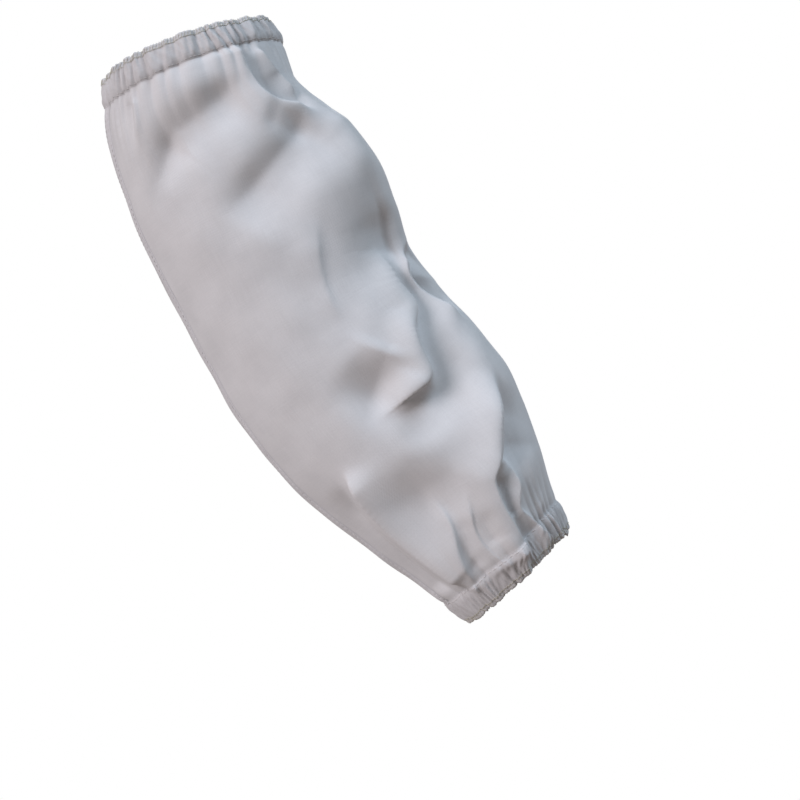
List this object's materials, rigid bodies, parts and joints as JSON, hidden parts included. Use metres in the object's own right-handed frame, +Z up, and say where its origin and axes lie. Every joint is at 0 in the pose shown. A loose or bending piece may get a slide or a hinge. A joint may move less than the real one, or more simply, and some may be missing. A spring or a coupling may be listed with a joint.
{
  "type": "welding sleeve",
  "caption": "Protective over-sleeve for a welder's forearm and elbow, a gathered cloth tube with an elastic casing at each mouth, in the shape it takes on a slightly bent arm.",
  "frame": {"origin": "centre of the upper mouth, where the sleeve is held on the upper arm", "axes": "+Z up the arm from the wrist mouth to the upper mouth, +X towards the crook of the elbow, -Y the front of the sleeve"},
  "size_m": [0.1708, 0.1186, 0.4298],
  "materials": {
    "cloth": "light grey flame-retardant cotton twill, soft and matt",
    "seam_cloth": "the same cotton, folded and top-stitched",
    "casing_cloth": "the same cotton, gathered over elastic and overlocked in tan and grey thread",
    "stitch_thread": "tan sewing thread, matt",
    "overlock_thread": "grey and olive overlock thread, matt"
  },
  "bodies": {
    "root": {"sleeve_panel": "cloth", "side_seam": "seam_cloth", "upper_casing": "casing_cloth", "wrist_casing": "casing_cloth"}
  },
  "joints": []
}
